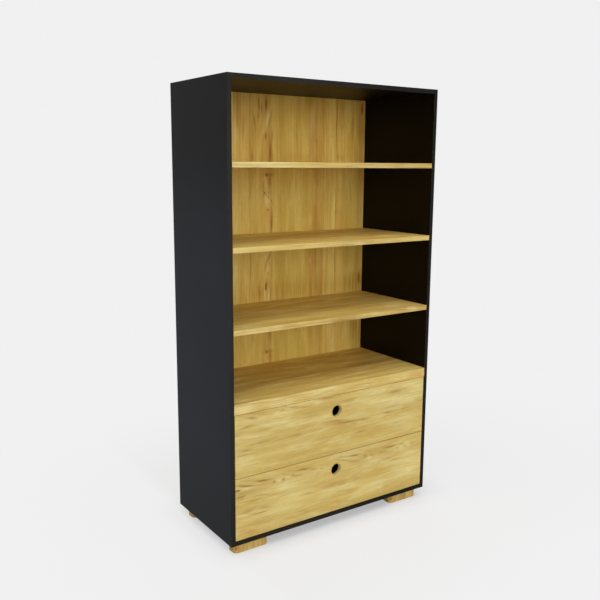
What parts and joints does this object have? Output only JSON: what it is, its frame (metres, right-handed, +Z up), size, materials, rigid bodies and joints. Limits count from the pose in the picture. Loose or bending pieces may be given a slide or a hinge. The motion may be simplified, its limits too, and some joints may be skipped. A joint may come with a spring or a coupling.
{
  "type": "bookcase with bottom drawers",
  "caption": "Tall open bookcase: dark carcass, pine back, shelves and thick deck over full-width inset drawers with round finger holes, on low block feet.",
  "frame": {"origin": "on the floor, under the middle of the carcass", "axes": "+Z up, front facing -Y, +X to the right seen from the front"},
  "size_m": [0.9, 0.41, 1.625],
  "materials": {
    "black_board": "board faced in matt charcoal black",
    "pine_board": "clear satin lacquer, grain along the board",
    "pine_face": "clear satin lacquer, grain across the drawer",
    "pine_back": "thin veneered sheet, upright grain, satin",
    "pine_foot": "clear satin lacquer",
    "birch_box": "pale bare drawer-box board",
    "birch_sheet": "pale bare drawer-bottom sheet",
    "beech_dowel": "bare fluted beech",
    "zinc_cam": "dull die-cast zinc",
    "bearing_steel": "bright hardened balls in a pressed cage",
    "zinc_plated_sheet": "bright zinc-plated rolled steel",
    "zinc_plated_screw": "bright zinc-plated steel"
  },
  "bodies": {
    "cabinet": {"back_panel": "pine_back", "back_panel_nails": "zinc_plated_screw", "bottom_panel": "black_board", "carcass_cam_bolts": "zinc_plated_screw", "carcass_cam_locks": "zinc_cam", "carcass_dowels": "beech_dowel", "deck_panel": "pine_board", "foot_front_left": "pine_foot", "foot_front_right": "pine_foot", "foot_rear_left": "pine_foot", "foot_rear_right": "pine_foot", "foot_screws": "zinc_plated_screw", "lower_rail_left": "zinc_plated_sheet", "lower_rail_right": "zinc_plated_sheet", "rail_screws": "zinc_plated_screw", "shelf_lower": "pine_board", "shelf_middle": "pine_board", "shelf_pins": "zinc_plated_screw", "shelf_upper": "pine_board", "side_panel_left": "black_board", "side_panel_right": "black_board", "top_panel": "black_board", "upper_rail_left": "zinc_plated_sheet", "upper_rail_right": "zinc_plated_sheet"},
    "lower_drawer": {"lower_drawer_back": "birch_box", "lower_drawer_back_screws": "zinc_plated_screw", "lower_drawer_bottom": "birch_sheet", "lower_drawer_cam_bolts": "zinc_plated_screw", "lower_drawer_cam_locks": "zinc_cam", "lower_drawer_face": "pine_face", "lower_drawer_side_left": "birch_box", "lower_drawer_side_right": "birch_box", "lower_slide_left": "zinc_plated_sheet", "lower_slide_right": "zinc_plated_sheet", "lower_slide_screws": "zinc_plated_screw"},
    "lower_runner_middles": {"lower_runner_middle_left": "zinc_plated_sheet", "lower_runner_middle_right": "zinc_plated_sheet"},
    "lower_outer_cages": {"lower_outer_cage_left": "bearing_steel", "lower_outer_cage_right": "bearing_steel"},
    "lower_inner_cages": {"lower_inner_cage_left": "bearing_steel", "lower_inner_cage_right": "bearing_steel"},
    "upper_drawer": {"upper_drawer_back": "birch_box", "upper_drawer_back_screws": "zinc_plated_screw", "upper_drawer_bottom": "birch_sheet", "upper_drawer_cam_bolts": "zinc_plated_screw", "upper_drawer_cam_locks": "zinc_cam", "upper_drawer_face": "pine_face", "upper_drawer_side_left": "birch_box", "upper_drawer_side_right": "birch_box", "upper_slide_left": "zinc_plated_sheet", "upper_slide_right": "zinc_plated_sheet", "upper_slide_screws": "zinc_plated_screw"},
    "upper_runner_middles": {"upper_runner_middle_left": "zinc_plated_sheet", "upper_runner_middle_right": "zinc_plated_sheet"},
    "upper_outer_cages": {"upper_outer_cage_left": "bearing_steel", "upper_outer_cage_right": "bearing_steel"},
    "upper_inner_cages": {"upper_inner_cage_left": "bearing_steel", "upper_inner_cage_right": "bearing_steel"}
  },
  "joints": [
    {"name": "lower_drawer_slide", "type": "slide", "parent": "cabinet", "child": "lower_drawer", "axis": [0, -1, 0], "range_m": [0, 0.35]},
    {"name": "lower_runner_middles_slide", "type": "slide", "parent": "cabinet", "child": "lower_runner_middles", "axis": [0, -1, 0], "range_m": [0, 0.175]},
    {"name": "lower_outer_cages_slide", "type": "slide", "parent": "cabinet", "child": "lower_outer_cages", "axis": [0, -1, 0], "range_m": [0, 0.0875]},
    {"name": "lower_inner_cages_slide", "type": "slide", "parent": "cabinet", "child": "lower_inner_cages", "axis": [0, -1, 0], "range_m": [0, 0.2625]},
    {"name": "upper_drawer_slide", "type": "slide", "parent": "cabinet", "child": "upper_drawer", "axis": [0, -1, 0], "range_m": [0, 0.35]},
    {"name": "upper_runner_middles_slide", "type": "slide", "parent": "cabinet", "child": "upper_runner_middles", "axis": [0, -1, 0], "range_m": [0, 0.175]},
    {"name": "upper_outer_cages_slide", "type": "slide", "parent": "cabinet", "child": "upper_outer_cages", "axis": [0, -1, 0], "range_m": [0, 0.0875]},
    {"name": "upper_inner_cages_slide", "type": "slide", "parent": "cabinet", "child": "upper_inner_cages", "axis": [0, -1, 0], "range_m": [0, 0.2625]}
  ],
  "couplings": [
    {"joint": "lower_runner_middles_slide", "follows": "lower_drawer_slide", "ratio": 0.5},
    {"joint": "lower_outer_cages_slide", "follows": "lower_drawer_slide", "ratio": 0.25},
    {"joint": "lower_inner_cages_slide", "follows": "lower_drawer_slide", "ratio": 0.75},
    {"joint": "upper_runner_middles_slide", "follows": "upper_drawer_slide", "ratio": 0.5},
    {"joint": "upper_outer_cages_slide", "follows": "upper_drawer_slide", "ratio": 0.25},
    {"joint": "upper_inner_cages_slide", "follows": "upper_drawer_slide", "ratio": 0.75}
  ]
}
